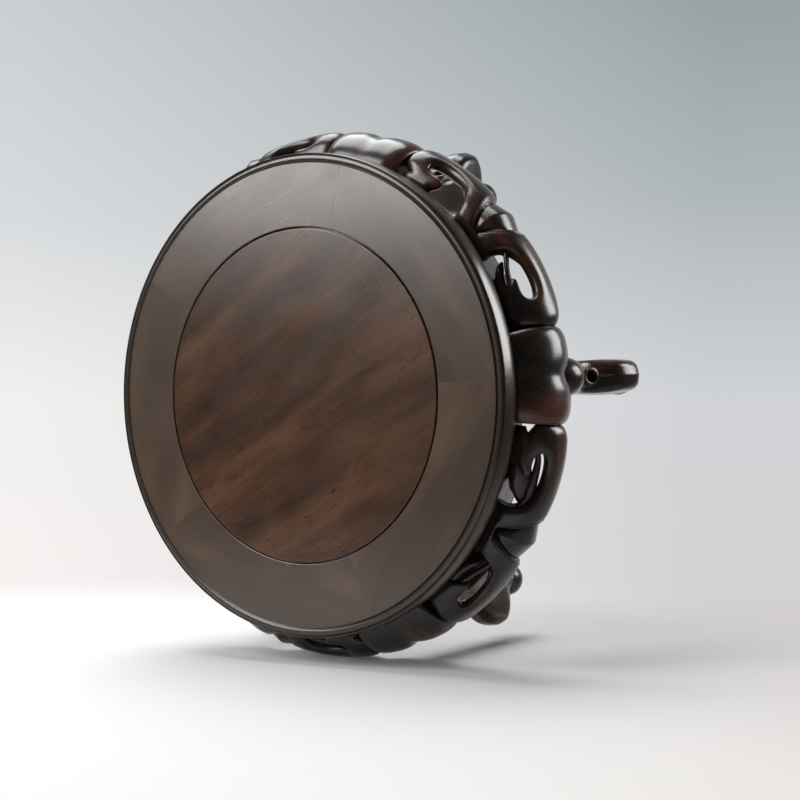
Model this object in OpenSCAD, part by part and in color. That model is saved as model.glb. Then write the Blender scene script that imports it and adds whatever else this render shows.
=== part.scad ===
// Round hardwood display stand: a five-piece moulded frame round a floating panel,
// five bulging shoulder legs on ball feet, and five carved openwork aprons between them.
// Sizes in millimetres, Z up, standing on Z = 0 with the axis at the origin.

/* [Plate] */
// Diameter of the moulded rim
plate_d = 150; // [140:1:160]
// Thickness of the frame
frame_t = 7; // [6:0.5:9]
// Diameter of the joint between frame and panel
panel_joint_d = 104; // [96:1:108]
// Thickness of the panel
panel_t = 5; // [4.5:0.1:5.5]
// Visible gap round the panel, for the wood to move
panel_gap = 0.6; // [0.4:0.1:1]
// Reach of the panel's tongue into the frame
tongue_reach = 3; // [2:0.5:4]
// Thickness of the panel's tongue
tongue_t = 1.8; // [1.4:0.1:2.2]
// Width of the bead inside the rim
bead_w = 2.1; // [1.6:0.1:2.6]

/* [Apron] */
// Greatest diameter, over the bulge of the shoulders
bulge_d = 167; // [160:1:174]
// Diameter of the recessed waist under the frame
waist_d = 142; // [138:1:146]
// Height of the waist's rail behind the carving
waist_h = 7; // [6:0.1:8]
// Height of the bulging apron from the frame down
apron_h = 25.6; // [24:0.1:28]
// Thickness of the carved strands
strand_t = 6; // [5:0.1:7]
// Width of the loop openings
opening_w = 16.5; // [15:0.5:17]
// Height of the loop openings
opening_h = 9.4; // [8:0.1:10]
// Width of the leaf between two loops
leaf_w = 14; // [12:0.5:15]

/* [Legs] */
// Overall height of the stand
overall_h = 86; // [80:1:96]
// Width of a leg's shoulder between the apron joints
shoulder_w = 30; // [27:0.5:33]
// Width of a leg below the shoulder
leg_w = 11.4; // [10.4:0.1:12.6]
// Depth of the fold down the middle of the shoulder
fold_depth = 2; // [1:0.1:2.6]
// Diameter across the toes
toe_d = 166; // [160:1:172]
// Diameter of the ball under each foot
ball_d = 11.2; // [10:0.2:12]
// Diameter of the circle on which the balls stand
ball_circle_d = 137; // [132:1:142]

/* [Joinery] */
// Glue gap between neighbouring pieces
glue_gap = 0.1; // [0.05:0.05:0.2]
// Diameter of the round tenon on top of each leg
tenon_d = 6; // [5:0.5:7]
// Height of that tenon
tenon_h = 4; // [3:0.5:4.5]
// Length of the stub tenons on the ends of an apron
stub_l = 4; // [3:0.5:5]
// Height of the stub tenons
stub_h = 8; // [6:0.5:9]
// Thickness of the stub tenons
stub_t = 3; // [2.4:0.1:3.6]
// Length of the loose splines in the frame's joints
spline_l = 16; // [12:1:20]
// Width of the splines
spline_w = 6; // [5:0.5:7]
// Thickness of the splines
spline_t = 2; // [1.6:0.1:2.4]

/* [Hidden] */
$fn = 96;
legs = 5;
full_turn = 360;
step_deg = full_turn / legs;
first_leg_deg = 90;

// Heights and radii that the pieces share
plate_r = plate_d / 2;
bulge_r = bulge_d / 2;
waist_r = waist_d / 2;
joint_r = panel_joint_d / 2;
under_z = overall_h - frame_t;
bulge_z = under_z - apron_h / 2;

// Rim moulding
edge_r = 2.7;
bead_set = 1;
bead_inner_r = plate_r - bead_w - bead_set;
bead_sink = 0.35;
rim_fillet = 1.6;

// Panel and its groove
tongue_z = overall_h - panel_t / 2 - tongue_t / 2;
groove_play = 0.2;

// Joinery in the frame
tenon_wall = 1.5;
tenon_r = waist_r - tenon_d / 2 - tenon_wall;
spline_shift = 0.4;
spline_r = (joint_r + tongue_reach + tenon_r - tenon_d / 2) / 2 + spline_shift;
spline_rise = 1.2;
spline_z = under_z + spline_rise;

// Angles of the pieces round the axis
shoulder_deg = shoulder_w / bulge_r * 180 / PI;
apron_half_deg = (step_deg - shoulder_deg) / 2;

wood_frame = "#3a2a22";
wood_panel = "#6b3a24";
wood_leg = "#2a1712";
wood_apron = "#32190f";
wood_spline = "#8a6a45";

// Radius of the bulging front at a height: a low power gives a squarer bulge
bulge_power = 0.5;
function front_r(z) =
    let (u = min(1, abs(z - bulge_z) / (apron_h / 2)))
    waist_r + (bulge_r - waist_r) * pow(max(0, cos(90 * u)), bulge_power);

// Point from radius, angle and height
function polar(r, deg, z) = [r * cos(deg), r * sin(deg), z];

// Signed power, for superellipses
function spow(v, p) = sign(v) * pow(abs(v), p);

// Solid between rings of equally many points, with closed ends or closed on itself
module loft(rings, closed = false) {
    n = len(rings[0]);
    m = len(rings);
    last = closed ? m - 1 : m - 2;
    sides = [for (i = [0 : last], j = [0 : n - 1], half = [0, 1])
        let (a = i * n + j,
             b = i * n + (j + 1) % n,
             c = ((i + 1) % m) * n + (j + 1) % n,
             d = ((i + 1) % m) * n + j)
        half == 0 ? [a, b, c] : [a, c, d]];
    cap_a = [for (j = [1 : n - 2]) [0, j + 1, j]];
    base = (m - 1) * n;
    cap_b = [for (j = [1 : n - 2]) [base, base + j, base + j + 1]];
    polyhedron([for (r = rings) each r], closed ? sides : concat(sides, cap_a, cap_b));
}

// Smooth curve through stations of any width of row
function catmull(a, b, c, d, t) =
    0.5 * ((2 * b) + (c - a) * t + (2 * a - 5 * b + 4 * c - d) * t * t
           + (3 * b - a - 3 * c + d) * t * t * t);
function smooth(rows, per_span) =
    let (last = len(rows) - 1)
    concat([for (i = [0 : last - 1], k = [0 : per_span - 1])
        catmull(rows[max(0, i - 1)], rows[i], rows[i + 1], rows[min(last, i + 2)], k / per_span)],
        [rows[last]]);

// Frame

module frame_profile() {
    difference() {
        union() {
            translate([joint_r, under_z])
                square([plate_r - edge_r - joint_r, frame_t - bead_sink]);
            translate([joint_r, under_z])
                square([bead_inner_r - joint_r, frame_t]);
            translate([plate_r - edge_r, under_z + frame_t - edge_r - bead_sink])
                circle(r = edge_r);
            translate([bead_inner_r + bead_w / 2, overall_h - bead_w / 2])
                circle(d = bead_w);
            translate([bead_inner_r, under_z + rim_fillet])
                square([plate_r - edge_r - bead_inner_r, frame_t - edge_r - rim_fillet]);
        }
        translate([joint_r - 1, tongue_z - groove_play])
            square([tongue_reach + groove_play + 1, tongue_t + 2 * groove_play]);
    }
}

module frame_segment(i) {
    half = step_deg / 2;
    gap_deg = glue_gap / 2 / plate_r * 180 / PI;
    color(wood_frame)
    difference() {
        rotate([0, 0, first_leg_deg + i * step_deg + gap_deg])
            rotate_extrude(angle = step_deg - 2 * gap_deg)
                frame_profile();
        for (k = [0, 1])
            rotate([0, 0, first_leg_deg + (i + k) * step_deg]) {
                translate([tenon_r, 0, under_z - 1])
                    cylinder(d = tenon_d + 2 * glue_gap, h = tenon_h + 1 + glue_gap);
                translate([spline_r, 0, spline_z + spline_t / 2])
                    cube([spline_w + 2 * glue_gap, spline_l + 2 * glue_gap, spline_t + 2 * glue_gap],
                         center = true);
            }
    }
}

module frame_spline(i) {
    color(wood_spline)
    rotate([0, 0, first_leg_deg + i * step_deg])
        translate([spline_r, 0, spline_z + spline_t / 2])
            cube([spline_w, spline_l, spline_t], center = true);
}

module top_panel() {
    color(wood_panel)
    union() {
        translate([0, 0, overall_h - panel_t])
            cylinder(r = joint_r - panel_gap, h = panel_t);
        translate([0, 0, tongue_z])
            cylinder(r = joint_r + tongue_reach - groove_play, h = tongue_t);
    }
}

// Legs

// Shoulder: drop of each place below the frame or the bulge, how far its front
// stands in from the bulge, and its thickness from front to back
shoulder_t = 12;
brow_drop = 4.4;
brow_in = 3.6;
corner_in = 1.4;
skirt_drop = 6.5;
skirt_in = 2;
hem_drop = 11.2;
hem_in = 4.2;
hem_flare = 3.6;
hem_hw = leg_w / 2 + hem_flare;
joint_lap = 0.4;
shoulder_hw = shoulder_w / 2 + joint_lap;
tenon_back = 1;
top_back_r = waist_r - tenon_d - tenon_back;

// Pinch under the shoulder, knob below it and the neck under that
pinch_drop = 13.8;
pinch_in = 6.6;
pinch_side = 1.5;
pinch_hw = leg_w / 2 - pinch_side;
knob_drop = 18.4;
knob_in = 3.8;
knob_t = 13.4;
knob_swell = 0.7;
knob_z = bulge_z - knob_drop;
throat_drop = 5;
throat_in = 7;
neck_drop = 11;
neck_in = 10.4;
neck_waist = 0.6;
shank_in = 21;
shank_r = bulge_r - shank_in;

// Toe, and the ball cut flat at the sole
toe_r = toe_d / 2;
toe_z = 19.5;
toe_rise = 9.5;
toe_set = 6;
toe_face = 4;
toe_lean = 1.4;
toe_round = 2.4;
leg_hw = leg_w / 2;
ball_r = ball_d / 2;
ball_circle_r = ball_circle_d / 2;
sole_flat = 0.6;
ball_z = ball_r - sole_flat;
ankle_in = 1.2;
ankle_drop = 5;
root_r = 2;

// How far a station's back lies below its front, and how much thinner the shoulder gets
back_sag = 1;
neck_sag = 1.5;
toe_sag = 0.5;
skirt_thin = 1;
hem_thin = 2;
sole_ease = 0.2;

// Squareness of a section, from round to slab
round_s = 2.4;
soft_s = 3.2;
box_s = 4.2;
slab_s = 4.6;

// Stations down a leg: front radius and height, back radius and height,
// half width, squareness of the section, depth of the fold
shoulder_rows = [
    [plate_r - bead_sink, under_z, top_back_r, under_z, shoulder_hw - corner_in, slab_s, 0],
    [bulge_r - brow_in, under_z - brow_drop, waist_r - brow_drop, under_z - brow_drop,
        shoulder_hw, slab_s, fold_depth / 3],
    [bulge_r, bulge_z, bulge_r - shoulder_t, bulge_z, shoulder_hw, slab_s, fold_depth],
    [bulge_r - skirt_in, bulge_z - skirt_drop,
        bulge_r - skirt_in - shoulder_t + skirt_thin, bulge_z - skirt_drop - back_sag,
        shoulder_hw - skirt_in, box_s, fold_depth],
    [bulge_r - hem_in, bulge_z - hem_drop,
        bulge_r - hem_in - shoulder_t + hem_thin, bulge_z - hem_drop - back_sag,
        hem_hw, soft_s, fold_depth / 2]];
shank_rows = [
    [bulge_r - pinch_in, bulge_z - pinch_drop,
        bulge_r - pinch_in - shoulder_t + hem_thin, bulge_z - pinch_drop - back_sag, pinch_hw, soft_s, 0],
    [bulge_r - knob_in, knob_z, bulge_r - knob_in - knob_t, knob_z - back_sag, leg_hw + knob_swell, round_s, 0],
    [bulge_r - throat_in, knob_z - throat_drop,
        bulge_r - throat_in - knob_t, knob_z - throat_drop - neck_sag, leg_hw, round_s, 0],
    [bulge_r - neck_in, knob_z - neck_drop, shank_r, knob_z - neck_drop - neck_sag,
        leg_hw - neck_waist, round_s, 0],
    [toe_r - toe_set, toe_z + toe_rise, shank_r, toe_z + toe_rise - neck_sag, leg_hw - neck_waist / 2, soft_s, 0],
    [toe_r - toe_lean, toe_z + toe_face, shank_r, toe_z + toe_face - back_sag, leg_hw, box_s, 0],
    [toe_r, toe_z, shank_r, toe_z - toe_sag, leg_hw, box_s, 0],
    [toe_r - toe_round, toe_z - toe_round, shank_r, toe_z - toe_round - toe_sag, leg_hw - sole_ease, box_s, 0]];
foot_rows = [
    [ball_circle_r + ball_r - ankle_in, toe_z - ankle_drop, ball_circle_r - ball_r + ankle_in,
        toe_z - ankle_drop - toe_sag, leg_hw - ankle_in, soft_s, 0],
    [ball_circle_r + ball_r - ankle_in, ball_z + ball_r - ankle_in, ball_circle_r - ball_r + ankle_in,
        ball_z + ball_r - ankle_in, ball_r - ankle_in, round_s, 0],
    [ball_circle_r + root_r, ball_z, ball_circle_r - root_r, ball_z, root_r, round_s, 0]];
leg_stations = concat(shoulder_rows, shank_rows, foot_rows);

// Places across the section, from side to side on the front and back again
front_places = [-1, -0.97, -0.88, -0.68, -0.42, -0.18, 0, 0.18, 0.42, 0.68, 0.88, 0.97, 1];
back_places = [0.9, 0.5, 0, -0.5, -0.9];
fold_place = 0.27;
function fold_share(q) = exp(-pow(q / fold_place, 2));

// Half angle of a shoulder, less half the glue gap, at which its sides are flat
leg_limit = shoulder_deg / 2 - glue_gap / 2 / bulge_r * 180 / PI;
function leg_point(s, q, face) =
    let (mid = [s[0] + s[2], s[1] + s[3]] / 2,
         half = [s[0] - s[2], s[1] - s[3]] / 2,
         d = face * pow(max(0, 1 - pow(abs(q), s[5])), 1 / s[5]),
         fold = face > 0 ? s[6] * fold_share(q) : 0,
         deg = q * s[4] / s[0] * 180 / PI)
    polar(mid[0] + half[0] * d - fold, max(-leg_limit, min(leg_limit, deg)), mid[1] + half[1] * d);
function leg_ring(s) =
    concat([for (q = front_places) leg_point(s, q, 1)], [for (q = back_places) leg_point(s, q, -1)]);

module leg(i) {
    color(wood_leg)
    rotate([0, 0, first_leg_deg + i * step_deg])
    difference() {
        union() {
            loft([for (s = smooth(leg_stations, 2)) leg_ring(s)]);
            translate([tenon_r, 0, under_z - tenon_h])
                cylinder(d = tenon_d, h = 2 * tenon_h);
            translate([ball_circle_r, 0, ball_z])
                sphere(r = ball_r);
        }
        translate([0, 0, -ball_r])
            cube([4 * plate_r, 4 * leg_w, 2 * ball_r], center = true);
        for (side = [-1, 1])
            rotate([0, 0, side * shoulder_deg / 2])
                translate([stub_r, 0, stub_z])
                    cube([stub_t + 2 * glue_gap, 2 * (stub_l + glue_gap), stub_h + 2 * glue_gap], center = true);
    }
}

// Aprons

// Stub tenons behind the strands
stub_drop = 1;
stub_in = 1;
stub_z = bulge_z - stub_drop;
stub_r = bulge_r - strand_t / 2 - stub_in;

// Elevation of a half apron: places along the bulge from the middle of the leaf
ref_in = 3;
apron_ref_r = bulge_r - ref_in;
apron_end_x = apron_half_deg * PI / 180 * apron_ref_r;
apron_limit = apron_half_deg - glue_gap / 2 / bulge_r * 180 / PI;
function apron_deg(x) = max(-apron_limit, min(apron_limit, x / apron_ref_r * 180 / PI));
rail_h = 0.7;
loop_share = 0.52;
loop_x = loop_share * apron_end_x;
open_z = under_z - rail_h - opening_h / 2;
loop_rise = 2.2;
end_lap = 0.8;
loop_z = bulge_z + loop_rise;
loop_hw = apron_end_x - loop_x + end_lap;
hem_rise = 2;
loop_hh = apron_h / 2 - hem_rise;
loop_square = 0.5;
leaf_give = 15;
leaf_lap = 1.5;

// Loop: a rounded strand between the opening's outline and the loop's own outline
loop_steps = 26;
strand_sides = 10;
function loop_ring(t) =
    let (inner = [loop_x + opening_w / 2 * cos(t), open_z + opening_h / 2 * sin(t)],
         reach = cos(t) > 0 ? loop_hw : loop_x + leaf_lap,
         give = leaf_give * max(0, -cos(t)) * pow((1 - sin(t)) / 2, 1.5),
         outer = [loop_x + reach * spow(cos(t), loop_square) + give,
                  loop_z + loop_hh * spow(sin(t), loop_square)])
    [for (j = [0 : strand_sides - 1])
        let (u = full_turn * j / strand_sides,
             p = inner + (outer - inner) * (0.5 - 0.5 * cos(u)),
             z = min(p[1], under_z),
             r = front_r(z) - strand_t / 2 * (1 - sin(u)))
        polar(r, apron_deg(p[0]), z)];

module loop() {
    loft([for (k = [0 : loop_steps - 1]) loop_ring(-full_turn * k / loop_steps)], closed = true);
}

// Scroll tongue that curls from the joint into the opening: place, height, radius
lobe_r = 5.8;
lobe_lift = 0.3;
lobe_rise = 0.4;
lobe_inset = 1.1;
cheek_run = 11.6;
cheek_rise = 1.8;
cheek_r = 4.8;
crook_run = 7;
crook_rise = 2.8;
crook_r = 3;
tip_run = 3.2;
tip_rise = 2.4;
tip_r = 1.9;
hook_run = 2.2;
hook_rise = 0.8;
hook_r = 1.2;
tongue_stations = [
    [apron_end_x - lobe_inset, open_z + lobe_rise, lobe_r],
    [loop_x + cheek_run, open_z + cheek_rise, cheek_r],
    [loop_x + crook_run, open_z + crook_rise, crook_r],
    [loop_x + tip_run, open_z + tip_rise, tip_r],
    [loop_x + hook_run, open_z + hook_rise, hook_r]];
tongue_sides = 8;
function tongue_ring(rows, k) =
    let (a = rows[max(0, k - 1)],
         b = rows[min(len(rows) - 1, k + 1)],
         run = [b[0] - a[0], b[1] - a[1]],
         across = [-run[1], run[0]] / norm(run),
         s = rows[k])
    [for (j = [0 : tongue_sides - 1])
        let (u = -full_turn * j / tongue_sides,
             x = s[0] + across[0] * s[2] * cos(u),
             z = s[1] + across[1] * s[2] * cos(u),
             r = front_r(s[1]) + lobe_lift - s[2] * (1 - sin(u)))
        polar(r, apron_deg(x), min(z, under_z))];

module scroll_tongue() {
    rows = smooth(tongue_stations, 2);
    loft([for (k = [0 : len(rows) - 1]) tongue_ring(rows, k)]);
}

// Leaf: height, half width, lift of its ridge above the bulge, half width of its back
leaf_hw = leaf_w / 2;
leaf_lift = 1;
facet_sink = 0.7;
side_sink = 2.6;
back_hw = 0.75 * leaf_hw;
point_drop = 1.6;
throat_fall = 6;
cheek_over = 1;
wide_under = 4.4;
round_under = 7.4;
curl_under = 9.1;
end_under = 10;
leaf_stations = [
    [under_z - point_drop, 0.12 * leaf_hw, 0, back_hw],
    [under_z - throat_fall, 0.5 * leaf_hw, leaf_lift / 2, back_hw],
    [bulge_z + cheek_over, 0.86 * leaf_hw, leaf_lift, back_hw],
    [bulge_z - wide_under, leaf_hw, leaf_lift, back_hw],
    [bulge_z - round_under, 0.82 * leaf_hw, leaf_lift, 0.7 * leaf_hw],
    [bulge_z - curl_under, 0.52 * leaf_hw, leaf_lift / 2, 0.45 * leaf_hw],
    [bulge_z - end_under, 0.14 * leaf_hw, 0, 0.12 * leaf_hw]];
function leaf_ring(s) =
    let (r = min(front_r(s[0]) + s[2], bulge_r),
         w = s[1],
         back = s[3])
    [for (p = [[-w, -side_sink], [-0.55 * w, -facet_sink], [0, 0], [0.55 * w, -facet_sink], [w, -side_sink],
               [back, -strand_t / 2], [0.8 * back, -strand_t], [-0.8 * back, -strand_t], [-back, -strand_t / 2]])
        polar(r + p[1], apron_deg(p[0]), s[0])];

module leaf() {
    loft([for (s = smooth(leaf_stations, 2)) leaf_ring(s)]);
}

// Strip that carries the carving and is glued under the frame
waist_t = 6;
waist_trim_deg = 0.3;
module waist_strip() {
    rotate([0, 0, waist_trim_deg - apron_half_deg])
        rotate_extrude(angle = 2 * (apron_half_deg - waist_trim_deg))
            translate([waist_r - waist_t, under_z - waist_h])
                square([waist_t, waist_h]);
}

module apron(i) {
    color(wood_apron)
    rotate([0, 0, first_leg_deg + (i + 0.5) * step_deg])
    union() {
        for (side = [0, 1])
            mirror([0, side, 0]) {
                loop();
                scroll_tongue();
                rotate([0, 0, apron_half_deg])
                    translate([stub_r, 0, stub_z])
                        cube([stub_t, 2 * stub_l, stub_h], center = true);
            }
        leaf();
        waist_strip();
    }
}

top_panel();
for (i = [0 : legs - 1]) {
    frame_segment(i);
    frame_spline(i);
    leg(i);
    apron(i);
}
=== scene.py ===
import math

import bmesh
import bpy
import numpy as np
from mathutils import Matrix, Vector


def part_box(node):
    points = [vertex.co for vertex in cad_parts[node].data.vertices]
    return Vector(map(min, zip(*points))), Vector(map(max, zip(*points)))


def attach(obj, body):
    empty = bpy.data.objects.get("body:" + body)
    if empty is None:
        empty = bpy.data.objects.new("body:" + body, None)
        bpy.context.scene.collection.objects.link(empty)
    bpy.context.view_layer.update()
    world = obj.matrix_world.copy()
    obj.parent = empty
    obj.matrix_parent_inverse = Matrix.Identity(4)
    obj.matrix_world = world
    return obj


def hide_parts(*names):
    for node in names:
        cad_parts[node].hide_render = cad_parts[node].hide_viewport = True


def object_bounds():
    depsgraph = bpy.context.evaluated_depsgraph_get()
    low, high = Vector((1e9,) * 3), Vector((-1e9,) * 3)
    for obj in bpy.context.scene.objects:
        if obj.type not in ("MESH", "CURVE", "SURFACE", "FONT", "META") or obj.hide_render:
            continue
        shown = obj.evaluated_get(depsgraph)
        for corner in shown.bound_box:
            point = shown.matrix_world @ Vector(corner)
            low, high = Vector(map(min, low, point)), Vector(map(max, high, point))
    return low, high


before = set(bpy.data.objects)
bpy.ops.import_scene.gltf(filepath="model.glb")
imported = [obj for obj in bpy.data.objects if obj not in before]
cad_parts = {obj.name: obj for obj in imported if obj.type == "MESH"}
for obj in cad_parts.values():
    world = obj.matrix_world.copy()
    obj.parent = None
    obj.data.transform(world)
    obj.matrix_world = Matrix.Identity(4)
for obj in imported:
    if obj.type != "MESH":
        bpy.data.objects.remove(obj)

bl_info = {
    "name": "Carved Hardwood Stand",
    "version": (1, 0, 0),
    "blender": (4, 5, 0),
    "location": "3D View > Sidebar > Stand",
    "description": "Round display stand with a framed panel, five scroll legs and pierced aprons",
    "category": "Object",
}

MM = 0.001
LEGS = 5
STEP = 2 * math.pi / LEGS
FIRST_LEG = math.pi / 2
# Clearance under the frame and over the floor, in millimetres
SKIN = 0.02
CAD_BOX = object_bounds()
TOP = CAD_BOX[1].z / MM
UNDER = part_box("frame_segment_1")[0].z / MM


def farthest(node):
    """Largest distance of a CAD node from the stand's axis, in millimetres."""
    return max(math.hypot(v.co.x, v.co.y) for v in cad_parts[node].data.vertices) / MM


PLATE_R = farthest("frame_segment_1")
BULGE_R = farthest("apron_1")

# The stand lies on its side: the way to the camera's side, and the photograph's up
CAM_AZ = math.radians(231.2)
SIDE = Vector((math.cos(CAM_AZ), math.sin(CAM_AZ), 0))
TABLE_UP = Vector((-math.sin(CAM_AZ), math.cos(CAM_AZ), 0))
AXIS = Vector((0, 0, 1))


# Small tools for shapes

def curve_through(rows, per_span=8):
    """Catmull-Rom samples through rows of any width."""
    rows = np.asarray(rows, float)
    last = len(rows) - 1
    out = []
    for i in range(last):
        a, b = rows[max(0, i - 1)], rows[i]
        c, d = rows[i + 1], rows[min(last, i + 2)]
        for k in range(per_span):
            t = k / per_span
            out.append(0.5 * (2 * b + (c - a) * t + (2 * a - 5 * b + 4 * c - d) * t ** 2
                              + (3 * b - a - 3 * c + d) * t ** 3))
    out.append(rows[last])
    return np.array(out)


def table(rows):
    """Smooth lookup through pairs of place and value, with places rising, for the body of a class."""
    samples = curve_through(rows)
    return staticmethod(lambda at: np.interp(at, samples[:, 0], samples[:, 1]))


def smooth_min(a, b, k):
    """Smaller of two fields, with a soft join of width k."""
    h = np.clip(0.5 + 0.5 * (b - a) / k, 0, 1)
    return b * (1 - h) + a * h - k * h * (1 - h)


def smooth_max(a, b, k):
    """Larger of two fields, with a soft join of width k."""
    return -smooth_min(-a, -b, k)


def rolled(inset, width, depth, early=1.12, power=2.5):
    """Fall of a surface that rolls over towards an edge, by the distance from that edge.

    It starts a little early and without a sudden bend.
    """
    share = 1 - np.clip(inset / (early * width), 0, 1)
    return depth * (1 - np.sqrt(np.maximum(0, 1 - share ** power)))


def outline_distance(loop, x, y):
    """Signed distance to a closed outline of points, less than 0 inside."""
    x, y = np.broadcast_arrays(x, y)
    px, py = x.ravel(), y.ravel()
    best = np.full(px.shape, 1e9)
    inside = np.zeros(px.shape, bool)
    for (ax, ay), (bx, by) in zip(loop, np.roll(loop, -1, axis=0)):
        ex, ey = bx - ax, by - ay
        t = np.clip(((px - ax) * ex + (py - ay) * ey) / (ex * ex + ey * ey + 1e-12), 0, 1)
        best = np.minimum(best, (px - ax - ex * t) ** 2 + (py - ay - ey * t) ** 2)
        if ay != by:
            crosses = (ay > py) != (by > py)
            inside ^= crosses & (px < ax + (py - ay) / (by - ay) * ex)
    return (np.sqrt(best) * np.where(inside, -1, 1)).reshape(x.shape)


def surface_net(field, low, high, cell):
    """Closed quad surface where a field crosses 0, drawn onto the field's own surface."""
    low = np.asarray(low, float)
    count = np.ceil((np.asarray(high) - low) / cell).astype(int) + 1
    axes = [low[a] + cell * np.arange(count[a]) for a in range(3)]
    value = field(axes[0][:, None, None], axes[1][None, :, None], axes[2][None, None, :])
    value = np.ascontiguousarray(np.broadcast_to(value, count))
    inside = value < 0
    corners = list(np.ndindex(2, 2, 2))
    total = sum(inside[i:count[0] - 1 + i, j:count[1] - 1 + j, k:count[2] - 1 + k].astype(np.int8)
                for i, j, k in corners)
    active = (total > 0) & (total < 8)
    cells = np.argwhere(active)
    number = np.full(active.shape, -1)
    number[active] = np.arange(len(cells))
    spot = np.zeros((len(cells), 3))
    hits = np.zeros(len(cells))
    for a in corners:
        for axis in range(3):
            if a[axis]:
                continue
            b = np.array(a)
            b[axis] = 1
            va = value[tuple((cells + a).T)]
            vb = value[tuple((cells + b).T)]
            cross = (va < 0) != (vb < 0)
            t = va[cross] / (va[cross] - vb[cross])
            spot[cross] += a + t[:, None] * (b - a)
            hits[cross] += 1
    verts = low + (cells + spot / hits[:, None]) * cell
    quads, unit = [], np.eye(3, dtype=int)
    for axis in range(3):
        u, v = unit[(axis + 1) % 3], unit[(axis + 2) % 3]
        lower = np.take(inside, range(count[axis] - 1), axis)
        upper = np.take(inside, range(1, count[axis]), axis)
        edge = np.argwhere(lower != upper)
        first, second = edge @ u, edge @ v
        keep = (first > 0) & (second > 0) & (first < count @ u - 1) & (second < count @ v - 1)
        edge = edge[keep]
        ring = np.stack([number[tuple((edge - s).T)] for s in (u + v, v, 0 * u, u)], 1)
        back = ~lower[tuple(edge.T)]
        ring[back] = ring[back][:, ::-1]
        quads.append(ring)
    probe, farthest_step, flattest = 0.25 * cell, 0.6 * cell, 0.05
    for _ in range(2):
        f = field(*verts.T)
        slope = np.empty_like(verts)
        for a in range(3):
            move = np.zeros(3)
            move[a] = probe
            up, down = (verts + move).T, (verts - move).T
            slope[:, a] = (field(*up) - field(*down)) / (2 * probe)
        step = -f[:, None] * slope / np.maximum((slope ** 2).sum(1), flattest)[:, None]
        size = np.linalg.norm(step, axis=1, keepdims=True)
        verts = verts + step * np.minimum(1, farthest_step / np.maximum(size, 1e-9))
    return verts, np.concatenate(quads)


def ring_faces(rows, sides, closed=False):
    """Quads between rows of closed rings, with a cap at each end unless the last row joins the first."""
    faces = []
    for i in range(rows if closed else rows - 1):
        near, far = i * sides, (i + 1) % rows * sides
        for j in range(sides):
            k = (j + 1) % sides
            faces.append([near + j, near + k, far + k, far + j])
    if not closed:
        faces += [list(range(sides))[::-1], list(range((rows - 1) * sides, rows * sides))]
    return faces


def tube_along(points, radii, sides=8):
    """Round bead swept along points, closed at both ends."""
    points = np.asarray(points, float)
    ahead = np.gradient(points, axis=0)
    ahead /= np.linalg.norm(ahead, axis=1, keepdims=True)
    first = np.cross(ahead, [0.31, 0.17, 0.93])
    first /= np.linalg.norm(first, axis=1, keepdims=True)
    second = np.cross(ahead, first)
    turn = np.arange(sides) * 2 * math.pi / sides
    ring = np.cos(turn)[None, :, None] * first[:, None] + np.sin(turn)[None, :, None] * second[:, None]
    verts = (points[:, None] + ring * np.asarray(radii)[:, None, None]).reshape(-1, 3)
    return verts, ring_faces(len(points), sides)


def swept_section(loop, start, end, steps):
    """Closed section of radius and height turned from one angle to another, capped."""
    loop = np.asarray(loop, float)
    n = len(loop)
    turn = np.linspace(start, end, steps + 1)
    verts = np.stack([loop[None, :, 0] * np.cos(turn)[:, None], loop[None, :, 0] * np.sin(turn)[:, None],
                      np.broadcast_to(loop[None, :, 1], (steps + 1, n))], 2).reshape(-1, 3)
    faces = []
    for i in range(steps):
        for j in range(n):
            k = (j + 1) % n
            faces.append([i * n + j, (i + 1) * n + j, (i + 1) * n + k, i * n + k])
    faces.append(list(range(n)))
    faces.append([steps * n + j for j in range(n)][::-1])
    return verts, faces


def joined(*shapes):
    """One list of points and faces from several shapes."""
    verts, faces, base = [], [], 0
    for v, f in shapes:
        verts.append(np.asarray(v, float))
        faces += [[base + i for i in face] for face in (f.tolist() if hasattr(f, "tolist") else f)]
        base += len(v)
    return np.concatenate(verts), faces


def turned(verts, angle):
    """Points turned about the stand's axis."""
    c, s = math.cos(angle), math.sin(angle)
    return verts @ np.array([[c, s, 0], [-s, c, 0], [0, 0, 1]])


def basis(first, second, third, at):
    """Matrix with three axes as its columns, and a place."""
    return Matrix((*zip(first, second, third, at), (0, 0, 0, 1)))


def added(name, data):
    """Object put into the scene."""
    made = bpy.data.objects.new(name, data)
    bpy.context.scene.collection.objects.link(made)
    return made


def wooden_piece(name, node, verts, faces, grain, material, sharp_deg=None, painted_shade=None):
    """Makes a piece from points in millimetres; grain holds each point along, across and into the wood.

    Material is a finish's name. Painted shade darkens the wood's colour, from 0 for none to 1.
    """
    if not faces:
        raise RuntimeError(f"{name} came out without faces")
    mesh = bpy.data.meshes.new(name)
    mesh.from_pydata((verts * MM).tolist(), [], faces)
    lay = mesh.attributes.new("grain", "FLOAT_VECTOR", "POINT")
    lay.data.foreach_set("vector", (grain * MM).astype(np.float32).ravel())
    if painted_shade is not None:
        mesh.attributes.new("painted_shade", "FLOAT", "POINT").data.foreach_set("value", painted_shade.astype(np.float32))
    mesh.shade_smooth()
    if sharp_deg is not None:
        bm = bmesh.new()
        bm.from_mesh(mesh)
        limit = math.radians(sharp_deg)
        for e in bm.edges:
            if len(e.link_faces) == 2 and e.calc_face_angle(0) > limit:
                e.smooth = False
        bm.to_mesh(mesh)
        bm.free()
    mesh.update()
    mesh.validate()
    piece = added(name, mesh)
    mesh.materials.append(bpy.data.materials[material])
    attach(piece, "root")
    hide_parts(node)


# Finishes

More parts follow.
